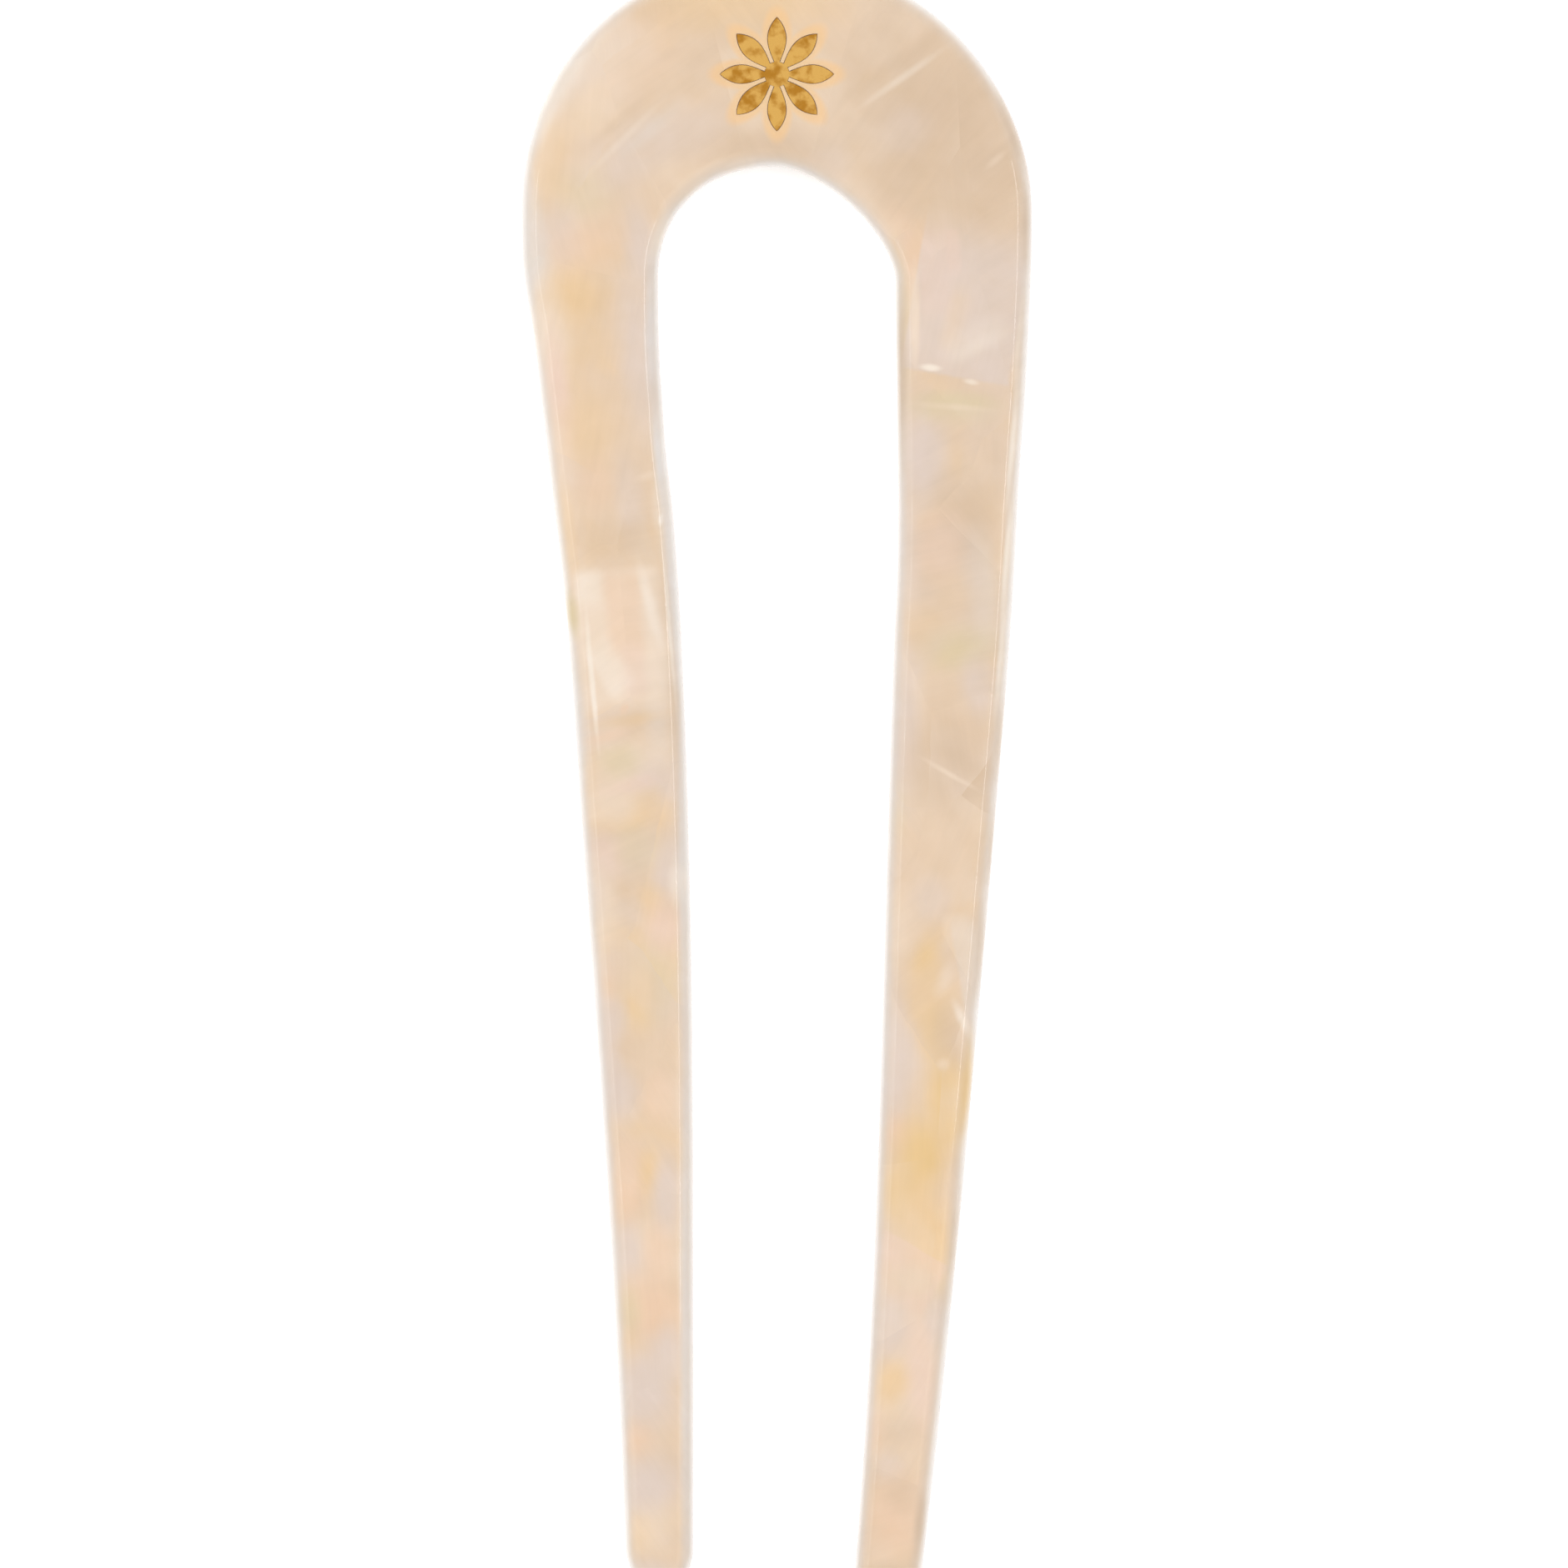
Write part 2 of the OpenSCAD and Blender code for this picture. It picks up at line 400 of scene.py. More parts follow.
def half_tree():
    """Half of the pin, as sections from its outer edge to its inner edge, closed at the tip.

    Each section is a bar with polished corners: the corners keep their size along the pin, and
    the faces between them stretch from one edge to the other.
    """
    net, given = new_geometry_tree(
        "half of the pin",
        [
            ("Outer edge", SHAPE),
            ("Inner edge", SHAPE),
            ("Thickness", NUMBER),
            ("Polish in at crown", NUMBER),
            ("Polish in at tip", NUMBER),
            ("Polish down", NUMBER),
            ("Sign", NUMBER),
        ],
    )
    index = net.out("GeometryNodeInputIndex")
    row_length = STATIONS + 1
    around = net.math("FLOOR", (index + 0.5) / row_length)
    station = index - around * row_length

    def edge_point(edge, place):
        kept = net.math("MINIMUM", net.math("MAXIMUM", place, 0.0), float(STATIONS))
        position = net.out("GeometryNodeInputPosition")
        return net.out(
            "GeometryNodeSampleIndex",
            {"Geometry": edge, "Value": position, "Index": kept},
            data_type="FLOAT_VECTOR",
        )

    def edge_frame(edge, turn):
        """A point of an edge, and the direction from it into the sheet."""
        x, y, _ = net.parts(edge_point(edge, station + 1.0) - edge_point(edge, station - 1.0))
        # At the crown's top an edge runs outward, and at the end of a tip towards its middle
        at_top = station < 0.5
        at_end = station > STATIONS - 0.5
        y = net.pick(at_top, y, 0.0)
        x = net.pick(at_end, x, given["Sign"] * -turn)
        y = net.pick(at_end, y, 0.0)
        across_x = y * turn * given["Sign"]
        across_y = x * -1.0 * turn * given["Sign"]
        into_sheet = net.vector_math("NORMALIZE", net.vector(across_x, across_y))
        return edge_point(edge, station), into_sheet

    outer, outer_in = edge_frame(given["Outer edge"], 1.0)
    inner, inner_in = edge_frame(given["Inner edge"], -1.0)

    # Once round the section is 4 quarters, each from the middle of a side to the middle of a face
    quarters = around / SECTION_POINTS * 4.0
    climb = net.math("PINGPONG", quarters, 1.0)
    near_outer = net.math("ABSOLUTE", quarters - 2.0) > 1.0
    on_top = quarters < 2.0
    wall = net.clamp(climb / WALL_END)
    corner = net.clamp((climb - WALL_END) / (FACE_START - WALL_END)) * (math.pi / 2)
    across = net.clamp((climb - FACE_START) / (1.0 - FACE_START)) * 0.5

    along = station / STATIONS
    polish_in = net.mix(along * along, given["Polish in at crown"], given["Polish in at tip"])
    inset = polish_in * (1.0 - net.cos(corner))
    outer_line = outer + outer_in * inset
    inner_line = inner + inner_in * inset
    near = net.pick(near_outer, inner_line, outer_line, "VECTOR")
    far = net.pick(near_outer, outer_line, inner_line, "VECTOR")
    x, y, _ = net.parts(net.mix(across, near, far, "VECTOR"))

    half_t = given["Thickness"] / 2.0
    height = (half_t - given["Polish down"]) * wall + given["Polish down"] * net.sin(corner)
    z = half_t + height * net.pick(on_top, -1.0, 1.0)

    grid = net.out("GeometryNodeMeshGrid", {"Vertices X": SECTION_POINTS + 1, "Vertices Y": row_length})
    # How far round the polished corner a point lies, from the face at 0 to the side at 1
    rounding = 1.0 - corner / (math.pi / 2)
    marked = net.out(
        "GeometryNodeStoreNamedAttribute",
        {"Geometry": grid, "Name": ROUNDING, "Value": rounding},
        data_type="FLOAT",
        domain="POINT",
    )
    shaped = net.out("GeometryNodeSetPosition", {"Geometry": marked, "Position": net.vector(x, y, z)})
    end_tree(net, shaped)
    return net


def use_tree(net, inner_net, inputs):
    """Puts a tree into another as a group."""
    made = net.node("GeometryNodeGroup", node_tree=inner_net.tree)
    for name, value in inputs.items():
        net.feed(made.inputs[name], value)
    return Wire(net, made.outputs[0])


def thicken(net, sheet, height):
    """A flat mesh as a closed block of a height, from the plane that it lies in upwards."""
    up = net.vector(0.0, 0.0, 1.0)
    block = net.out(
        "GeometryNodeExtrudeMesh",
        {"Mesh": sheet, "Offset": up, "Offset Scale": height, "Individual": False},
    )
    under = net.out("GeometryNodeFlipFaces", {"Mesh": sheet})
    joined = net.node("GeometryNodeJoinGeometry")
    net.feed(joined.inputs[0], under)
    net.feed(joined.inputs[0], block)
    closed = Wire(net, joined.outputs[0])
    return net.out("GeometryNodeMergeByDistance", {"Geometry": closed, "Distance": WELD})


def rosette_tree():
    """A block in the form of a rosette, grown all round by a clearance.

    Its outline runs up one side of each petal to the tip and down the other side.
    """
    net, given = new_geometry_tree(
        "rosette",
        [
            ("Radius", NUMBER),
            ("Petals", WHOLE),
            ("Petal width", NUMBER),
            ("Centre radius", NUMBER),
            ("Grow", NUMBER),
            ("Height", NUMBER),
            ("Base", NUMBER),
            ("Middle", NUMBER),
        ],
    )
    points = 2 * PETAL_STEPS + 1
    index = net.out("GeometryNodeInputIndex")
    petal = net.math("FLOOR", (index + 0.5) / points)
    step = index - petal * points
    climb = net.math("PINGPONG", step, float(PETAL_STEPS)) / PETAL_STEPS
    side = net.pick(step > PETAL_STEPS, -1.0, 1.0)
    # A petal is a leaf form with its belly a little past the middle, cut off where it meets
    # the round centre
    root = given["Centre radius"] / 2.0
    length = given["Radius"] - root
    cut_off = (given["Centre radius"] - root) / length
    share = cut_off + (1.0 - cut_off) * climb
    swell = net.math("ABSOLUTE", net.sin(math.pi * share**PETAL_BELLY)) ** PETAL_FULLNESS
    half_w = given["Petal width"] / 2.0 * swell + given["Grow"] * (1.0 - climb**8.0)
    reach = root + length * share + given["Grow"] * climb
    turn = (petal / given["Petals"]) * (2 * math.pi) + math.pi / 2
    place = net.out(
        "ShaderNodeVectorRotate",
        {"Vector": net.vector(reach, half_w * side), "Angle": turn},
        rotation_type="Z_AXIS",
    )
    ring = net.out("GeometryNodeMeshCircle", {"Vertices": given["Petals"] * points}, fill_type="NGON")
    flat = net.out("GeometryNodeSetPosition", {"Geometry": ring, "Position": place})
    block = thicken(net, flat, given["Height"])
    placed = net.out(
        "GeometryNodeTransform",
        {"Geometry": block, "Translation": net.vector(0.0, given["Middle"], given["Base"])},
    )
    end_tree(net, placed)
    return net


def smooth_but_corners(net, shape):
    """Smooth shading, with the edges of cut corners left sharp."""
    corner = net.out("GeometryNodeInputMeshEdgeAngle") > math.radians(CORNER_TURN)
    soft = net.out("GeometryNodeSetShadeSmooth", {"Geometry": shape, "Shade Smooth": True}, domain="FACE")
    return net.out(
        "GeometryNodeSetShadeSmooth",
        {"Geometry": soft, "Selection": corner, "Shade Smooth": False},
        domain="EDGE",
    )


def from_screen(red, green, blue):
    """A light colour as a screen shows it, 0 to 255 a channel, as the linear one of a shader."""
    return tuple(((channel / 255 + 0.055) / 1.055) ** 2.4 for channel in (red, green, blue))


def new_material(name):
    """A material, its node tree as a net, and its one shader."""
    material = bpy.data.materials.new(name)
    material.use_nodes = True
    return material, Net(material.node_tree), material.node_tree.nodes["Principled BSDF"]


def set_values(shader, values):
    for name, value in values.items():
        shader.inputs[name].default_value = value


# The gloss and the room's light brighten the body colour by as much as this holds it back
BODY_SHADE = (0.847, 0.822, 0.767)
# How much each channel of the body colour gains from place to place, blue the most
PLAY = (0.065, 0.09, 0.165)

# The tones of the pearl as they look under white light, and a warm tone for the gold's reflected light
# painted on the sheet
TONES = {
    "sand": from_screen(233, 207, 179),
    "cream": from_screen(244, 224, 203),
    "white": from_screen(252, 240, 226),
    "honey": from_screen(240, 206, 158),
    "amber": from_screen(236, 200, 138),
    "peach": from_screen(241, 207, 176),
    "rose": from_screen(242, 212, 196),
    "lilac": from_screen(228, 210, 198),
    "mist": from_screen(230, 221, 213),
    "beige": from_screen(219, 192, 163),
    "umber": from_screen(209, 181, 150),
    "moss": from_screen(226, 208, 170),
    "gold_bounce_tint": from_screen(238, 192, 132),
    # rim is a painted sheen on the polished round; pearl is painted light on the turn of the polish and
    # on shaded edges
    "rim": from_screen(232, 221, 211),
    "pearl": from_screen(241, 240, 241),
}

# Broad clouds all through the sheet, made by noise.
# Columns: tone, size in mm, where in the noise they start, the noise from which they show and
# at which they are full, strength
BROAD_CLOUDS = [
    ("cream", 7.0, 3.0, 0.48, 0.72, 0.45),
    ("beige", 5.0, 57.0, 0.50, 0.72, 0.40),
    ("honey", 4.5, 83.0, 0.52, 0.72, 0.40),
]

# Angular flakes all through the sheet, dealt by chance.
# Columns: tone, the chance from which they show, strength
CHANCE_FLAKES = [
    ("cream", 0.55, 0.25),
    ("beige", 0.60, 0.15),
    ("lilac", 0.60, 0.30),
]
# How many of them lie side by side in a mm, along each axis
FLAKES_PER_MM = (0.12, 0.08, 0.3)

# Marks turn in steps of this many degrees
TURN_STEP = 5
# How far clouds, flakes and streaks reach down into the sheet, in mm
CLOUD_DEPTH = 4.5
FLAKE_DEPTH = 2.5
STREAK_DEPTH = 2.0
# How much wider than its half sizes a cloud fades out, and a streak
CLOUD_SPREAD = 1.25
STREAK_SPREAD = 1.3
CLOUD_SOFTNESS = 0.75

# Clouds of a tone under the stamped face, in mm.
# Columns: tone, x, y, half width, half height, turn in degrees, strength
CLOUDS = [
    # Crown
    ("honey", -14.8, 45.0, 2.1, 5.4, -18, 0.6),
    ("cream", -15.6, 44.0, 0.9, 4.0, -10, 0.35),
    ("moss", -12.6, 41.4, 1.8, 1.6, 0, 0.4),
    ("lilac", -14.4, 38.4, 1.4, 2.0, 0, 0.6),
    ("cream", -11.4, 48.6, 1.6, 3.6, -40, 0.6),
    ("peach", -9.4, 51.0, 3.2, 2.2, 40, 0.4),
    ("cream", -9.6, 51.2, 2.4, 1.8, 40, 0.4),
    ("cream", -13.0, 50.6, 1.8, 3.2, -40, 0.9),
    ("lilac", -9.0, 44.2, 1.6, 3.4, -45, 0.6),
    ("lilac", -8.7, 37.6, 1.0, 2.8, 10, 0.8),
    ("lilac", -4.9, 45.6, 2.4, 1.5, 30, 0.5),
    ("beige", 0.8, 44.0, 4.4, 1.6, 0, 0.9),
    ("beige", 11.6, 44.9, 5.2, 6.6, 30, 0.8),
    ("lilac", 4.4, 43.4, 1.4, 1.2, -20, 0.4),
    ("lilac", 9.4, 45.6, 1.8, 1.4, 30, 0.4),
    ("honey", -1.8, 54.4, 6.0, 1.8, 0, 0.6),
    ("peach", -12.6, 37.6, 2.6, 1.6, 20, 0.5),
    # These four are painted light on the left outer rim by the crown, where the light from the left
    # falls, the white ones a broad painted highlight
    ("cream", -16.9, 42.0, 0.8, 5.0, -2, 0.5),
    ("white", -14.6, 49.0, 1.1, 4.0, -32, 0.9),
    ("white", -15.9, 46.4, 0.8, 2.4, -20, 0.6),
    ("mist", -16.5, 37.0, 1.1, 4.2, 5, 0.9),
    # Left leg
    ("honey", -13.6, 34.0, 2.2, 1.8, 15, 0.8),
    ("lilac", -8.9, 30.4, 1.3, 5.0, 5, 0.8),
    ("cream", -15.4, 31.0, 1.4, 3.4, 5, 0.85),
    ("rose", -14.5, 27.0, 0.8, 4.0, 6, 0.7),
    ("cream", -14.8, 22.6, 1.2, 3.8, 6, 0.6),
    ("honey", -12.6, 25.0, 1.6, 2.4, 0, 0.5),
    ("peach", -12.0, 21.2, 1.2, 1.6, 0, 0.5),
    ("lilac", -9.6, 20.2, 0.9, 2.6, 5, 0.5),
    ("white", -7.3, 19.2, 0.6, 2.6, 5, 0.4),
    ("beige", -10.8, 17.2, 2.4, 1.3, 0, 0.5),
    ("mist", -7.9, 8.6, 0.9, 6.4, 5, 0.45),
    ("honey", -14.3, 16.8, 0.8, 5.0, 6, 0.7),
    ("cream", -12.3, 11.8, 1.0, 1.8, 0, 0.8),
    ("cream", -9.4, 2.0, 2.8, 1.5, 15, 0.65),
    ("cream", -11.6, 4.0, 1.4, 0.9, 10, 0.6),
    ("moss", -10.2, 2.2, 1.4, 1.0, 0, 0.6),
    ("mist", -13.3, 4.6, 0.7, 4.4, 2, 0.8),
    ("lilac", -7.6, 0.4, 1.6, 1.6, 25, 0.8),
    ("honey", -8.2, -1.2, 1.4, 1.3, 20, 0.7),
    ("cream", -10.8, -0.9, 1.8, 1.2, 0, 0.6),
    ("rose", -11.2, -4.4, 1.2, 1.3, 0, 0.7),
    ("moss", -9.0, -3.8, 1.4, 1.4, 0, 0.6),
    ("lilac", -6.8, -5.2, 1.0, 2.4, -8, 0.8),
    ("honey", -8.0, -7.6, 0.9, 1.1, 0, 0.5),
    ("white", -6.2, -6.2, 0.6, 1.4, 0, 0.5),
    ("cream", -11.8, -7.6, 1.3, 2.8, 4, 0.9),
    ("lilac", -9.4, -8.2, 0.9, 1.0, 0, 0.5),
    ("rose", -7.2, -9.4, 1.1, 1.6, 0, 0.6),
    ("peach", -10.0, -13.4, 1.4, 1.6, 0, 1.0),
    ("moss", -8.4, -13.4, 2.0, 2.2, 0, 0.6),
    ("honey", -8.8, -14.0, 1.1, 2.0, 0, 0.7),
    ("lilac", -10.6, -15.4, 0.9, 1.4, 0, 0.7),
    ("lilac", -11.6, -16.8, 1.0, 3.6, 8, 0.9),
    ("peach", -7.6, -21.2, 1.1, 1.6, 0, 0.7),
    ("lilac", -10.6, -20.8, 1.3, 2.0, 15, 0.9),
    ("peach", -9.9, -27.0, 1.2, 2.4, -5, 0.9),
    ("honey", -8.0, -26.2, 1.0, 1.4, 0, 0.8),
    ("lilac", -7.0, -27.6, 0.9, 2.4, 0, 0.9),
    ("lilac", -9.9, -31.8, 1.1, 1.9, 0, 0.9),
    ("lilac", -8.9, -32.4, 0.8, 1.0, 0, 0.6),
    ("peach", -7.5, -31.8, 1.0, 1.6, 0, 0.8),
    ("peach", -8.0, -35.6, 1.8, 2.4, 10, 0.9),
    ("moss", -9.7, -35.8, 0.9, 1.5, 0, 0.6),
    ("honey", -9.5, -38.6, 1.0, 1.2, 0, 0.8),
    ("lilac", -6.9, -38.6, 0.9, 1.8, 0, 0.8),
    ("lilac", -8.6, -41.0, 2.2, 2.8, 0, 0.95),
    ("mist", -10.7, -43.6, 0.8, 3.4, 0, 0.9),
    ("peach", -9.4, -44.8, 1.4, 1.2, 0, 0.7),
    ("lilac", -8.2, -47.8, 2.0, 2.0, 0, 0.95),
    ("honey", -8.9, -51.0, 1.1, 1.0, 0, 0.6),
    ("cream", -7.8, -50.6, 1.6, 1.5, 0, 0.5),
    ("lilac", -8.2, -54.0, 2.0, 1.0, 0, 0.8),
    # Right leg
    ("peach", 9.3, 37.2, 1.6, 2.8, 25, 0.7),
    ("moss", 8.7, 32.0, 0.8, 5.0, 2, 0.8),
    ("moss", 8.5, 24.6, 0.7, 4.4, 0, 0.9),
    ("lilac", 10.6, 23.4, 1.6, 3.4, 0, 0.95),
    ("moss", 12.8, 26.4, 2.6, 0.9, -5, 0.7),
    ("lilac", 9.4, 16.8, 1.0, 3.0, 0, 0.7),
    ("cream", 9.4, 9.6, 1.3, 6.0, 0, 0.55),
    ("beige", 13.6, 18.4, 2.0, 3.0, 5, 1.0),
    ("peach", 11.8, 16.8, 1.4, 2.2, 5, 0.8),
    ("honey", 12.8, 13.8, 1.3, 1.3, 0, 0.5),
    ("honey", 11.0, 11.2, 1.8, 1.6, 0, 0.9),
    ("moss", 13.0, 10.0, 2.2, 1.4, 10, 0.8),
    ("mist", 14.7, 14.0, 1.0, 3.6, 5, 0.4),
    ("lilac", 14.4, 7.2, 1.0, 2.0, 10, 0.7),
    ("lilac", 9.2, 4.4, 1.2, 4.6, 0, 0.8),
    ("beige", 12.6, 2.0, 2.6, 3.2, 10, 0.9),
    ("moss", 8.4, -1.4, 1.0, 2.0, 0, 0.4),
    ("sand", 11.0, -5.0, 3.0, 2.4, 0, 0.7),
    ("cream", 8.6, -9.8, 1.0, 2.6, 2, 0.45),
    ("lilac", 11.2, -7.4, 1.2, 1.4, 2, 0.5),
    ("amber", 10.9, -12.2, 0.9, 1.6, 0, 0.8),
    ("honey", 10.9, -14.6, 1.8, 2.8, 0, 0.9),
    ("amber", 11.6, -16.4, 1.1, 1.7, 0, 0.6),
    ("lilac", 8.4, -18.4, 1.2, 4.0, 0, 1.0),
    ("umber", 12.5, -17.4, 0.9, 2.4, 8, 0.45),
    ("amber", 12.5, -21.4, 1.3, 3.0, 8, 0.85),
    ("lilac", 9.5, -18.2, 0.9, 1.6, 0, 0.6),
    ("peach", 8.8, -23.6, 0.9, 1.2, 0, 0.7),
    ("amber", 10.4, -25.2, 1.6, 2.6, -10, 0.95),
    ("amber", 8.9, -28.0, 1.4, 2.0, 30, 0.8),
    ("honey", 11.0, -30.6, 1.6, 3.2, 15, 0.95),
    ("lilac", 8.2, -36.4, 1.5, 2.2, 0, 0.9),
    ("moss", 9.8, -33.6, 2.0, 1.0, 0, 0.8),
    ("honey", 11.9, -32.2, 0.8, 1.8, 10, 0.7),
    ("honey", 8.7, -40.5, 1.1, 1.2, 0, 0.8),
    ("lilac", 11.6, -36.4, 0.8, 1.8, 0, 0.7),
    ("beige", 8.9, -43.9, 1.7, 0.9, 0, 0.35),
    ("peach", 7.0, -43.8, 0.9, 1.4, 0, 0.6),
    ("lilac", 8.3, -46.6, 1.0, 1.0, 0, 0.5),
    ("rose", 10.6, -40.0, 1.0, 3.6, 5, 0.5),
    ("peach", 8.9, -50.0, 1.8, 2.4, 0, 0.9),
    ("beige", 9.0, -48.6, 1.2, 1.1, 0, 0.5),
    ("beige", 8.0, -54.2, 2.4, 0.9, 0, 0.7),
]

# Flakes with crisp edges, in mm.
# Columns: tone, x, y, half width, half height, turn, strength, then the softness in mm of the
# left, right, bottom and top edge
FLAKES = [
    # The big flake below the right shoulder, with what shows through it
    ("lilac", 13.3, 33.1, 3.8, 4.9, -8, 0.80, 0.12, 0.3, 0.18, 2.0),
    ("rose", 11.2, 35.6, 1.1, 3.0, 0, 0.25, 0.3, 0.6, 0.9, 1.2),
    ("sand", 12.5, 32.2, 0.6, 2.0, -15, 0.50, 0.5, 0.8, 0.8, 0.9),
    ("rose", 12.4, 36.9, 0.45, 1.5, 5, 0.30, 0.3, 0.25, 0.6, 0.3),
    ("white", 14.0, 30.8, 2.2, 0.9, 25, 0.20, 0.7, 0.7, 0.5, 0.8),
    # The light flake half way down the left leg
    ("cream", -10.6, 10.2, 2.8, 4.8, 5, 0.80, 0.5, 0.7, 0.9, 0.4),
    ("white", -12.8, 13.7, 0.8, 1.1, 0, 0.50, 0.4, 0.6, 0.7, 0.7),
    ("white", -11.2, 8.2, 1.0, 1.9, 30, 0.45, 0.4, 0.5, 0.6, 0.8),
    ("peach", -10.3, 12.0, 1.2, 2.8, 5, 0.50, 0.5, 0.5, 1.2, 0.9),
    ("rose", -9.6, 8.0, 0.8, 1.8, 5, 0.35, 0.5, 0.4, 0.7, 0.8),
    # Slivers near the tips
    ("mist", 13.5, -12.6, 0.8, 3.4, 10, 0.35, 0.2, 0.3, 0.5, 0.9),
    ("cream", 12.5, -9.8, 0.8, 1.0, 5, 0.35, 0.3, 0.5, 0.7, 0.4),
    ("rose", 8.9, -33.4, 2.6, 1.9, -30, 0.40, 0.3, 0.3, 0.8, 0.1),
]

# Thin light and dark streaks and flecks along the edges of flakes and of the polish, in mm, among them
# painted highlights, painted light and painted shade along the polish.
# Columns: tone, x, y, half length, half width, turn, strength, softness as a share of the width
STREAKS = [
    # Crown
    ("white", 8.9, 48.9, 3.4, 0.22, 35, 0.40, 0.9),
    ("umber", 7.9, 49.5, 3.8, 0.50, 35, 0.30, 0.9),
    ("white", -10.2, 44.8, 3.5, 0.22, 45, 0.25, 0.9),
    ("umber", -10.5, 46.0, 3.2, 0.32, 40, 0.25, 0.9),
    ("mist", -8.5, 45.3, 2.8, 0.50, 40, 0.35, 0.9),
    ("cream", 15.3, 43.2, 0.9, 0.20, 40, 0.40, 0.9),
    ("cream", -0.5, 51.0, 2.6, 0.60, 12, 0.30, 0.9),
    # Right leg's big flake
    # Painted highlight along the right leg's polished inner edge
    ("cream", 9.7, 32.4, 3.6, 0.30, 90, 0.80, 0.7),
    ("white", 10.8, 28.9, 0.75, 0.20, -6, 0.90, 0.7),
    ("white", 13.6, 27.9, 0.55, 0.16, -10, 0.60, 0.8),
    ("moss", 13.0, 26.6, 2.8, 0.50, -5, 0.60, 0.9),
    ("cream", 12.4, 26.2, 2.6, 0.20, -5, 0.40, 0.9),
    ("white", 14.0, 30.4, 1.8, 0.40, 30, 0.20, 0.9),
    # Right leg, further down
    ("umber", 12.9, 1.8, 2.2, 0.70, -30, 0.35, 0.9),
    ("cream", 12.1, 0.9, 2.1, 0.16, -30, 0.60, 0.9),
    ("cream", 11.8, -13.3, 1.3, 0.45, 65, 0.50, 0.9),
    ("white", 13.0, -16.0, 1.4, 0.28, -65, 0.60, 0.9),
    ("cream", 11.7, -19.1, 0.45, 0.34, 0, 0.45, 0.9),
    # Left leg's light flake
    # Painted highlight: the hairline of light along the left leg's polished outer edge
    ("white", -12.50, 7.4, 4.6, 0.17, 95, 0.85, 0.7),
    ("moss", -13.9, 11.9, 1.6, 0.40, 100, 0.90, 0.9),
    ("white", -8.5, 12.4, 3.0, 0.34, 105, 0.50, 0.9),
    # Painted highlight along the left leg's polished inner edge
    ("white", -7.2, 11.0, 5.4, 0.12, 95, 0.70, 0.8),
    ("peach", -10.3, 5.4, 0.45, 0.24, 60, 0.50, 0.9),
    ("honey", -10.0, 4.6, 2.6, 0.40, 10, 0.40, 0.9),
    ("peach", -11.4, 3.5, 1.6, 0.40, 15, 0.50, 0.9),
    # Left leg, elsewhere
    ("white", -7.8, 18.4, 0.45, 0.14, 80, 0.90, 0.8),
    ("cream", -8.7, 21.4, 0.9, 0.26, 15, 0.50, 0.9),
    ("rose", -9.6, 0.2, 2.2, 0.45, 15, 0.40, 0.9),
    # Along the polished edges, many of them painted highlights, painted light and painted shade
    # These two darken the crown's right outer edge, away from the light: painted shade
    ("umber", 16.6, 45.0, 4.2, 0.34, 110, 0.65, 0.9),
    ("umber", 17.45, 38.6, 3.6, 0.28, 90, 0.50, 0.9),
    # Painted highlights: the hairline of light along the right leg's polished outer edge
    ("white", 16.85, 30.5, 3.4, 0.16, 85, 0.40, 0.9),
    ("white", 16.42, 23.4, 4.4, 0.18, 85, 0.90, 0.9),
    ("white", 16.05, 15.8, 4.4, 0.18, 85, 0.95, 0.9),
    ("white", 15.60, 9.0, 4.0, 0.16, 85, 0.80, 0.9),
    # These three light the left leg's inner edge, which faces away from the light: painted light
    ("pearl", -6.95, 13.6, 7.5, 0.34, 95, 0.55, 0.9),
    ("pearl", -6.25, -6.0, 11.0, 0.30, 90, 0.45, 0.9),
    ("pearl", -6.10, -36.0, 20.0, 0.30, 90, 0.50, 0.9),
    # These four darken the right leg's outer edge, away from the light: painted shade
    ("umber", 15.6, 3.0, 3.6, 0.26, 85, 0.70, 0.9),
    ("umber", 15.0, -4.4, 3.4, 0.26, 85, 0.75, 0.9),
    ("umber", 14.3, -11.4, 3.4, 0.28, 85, 0.60, 0.9),
    ("umber", 12.5, -31.4, 4.6, 0.28, 85, 0.50, 0.9),
    ("umber", 8.80, 28.6, 6.0, 0.32, 90, 0.55, 0.9),
    ("amber", 13.3, -20.8, 3.6, 0.40, 85, 0.80, 0.9),
    # Painted shade on the right outer edge at the tip
    ("umber", 10.1, -51.0, 2.4, 0.34, 85, 0.50, 0.9),
    # These three light the arch's left inner edge against its shade: painted light
    ("white", -7.85, 38.0, 2.2, 0.40, 70, 0.60, 0.9),
    ("cream", -5.7, 41.3, 1.9, 0.36, 40, 0.60, 0.9),
    ("cream", -2.6, 42.8, 1.7, 0.34, 15, 0.50, 0.9),
    # These two light the left leg's inner edge against its shade: painted light
    ("pearl", -8.5, 31.4, 4.6, 0.32, 90, 0.50, 0.9),
    ("pearl", -7.95, 22.8, 3.4, 0.32, 95, 0.70, 0.9),
    # These four lighten the left outer rim, on which the light from the left falls: painted light
    ("white", -15.7, 47.6, 3.4, 0.50, 60, 0.50, 0.9),
    ("white", -10.9, -46.0, 4.2, 0.30, 95, 0.45, 0.9),
    ("cream", -16.2, 31.2, 2.2, 0.45, 95, 0.60, 0.9),
    ("mist", -17.0, 36.6, 2.6, 0.40, 95, 0.50, 0.9),
    ("white", -6.2, -6.4, 1.2, 0.26, 90, 0.40, 0.9),
]


def masked_tone(net, colour, tone, mask):
    """Lays a tone over a colour where the mask is 1."""
    return net.mix(mask, colour, (*TONES[tone], 1.0), "RGBA")


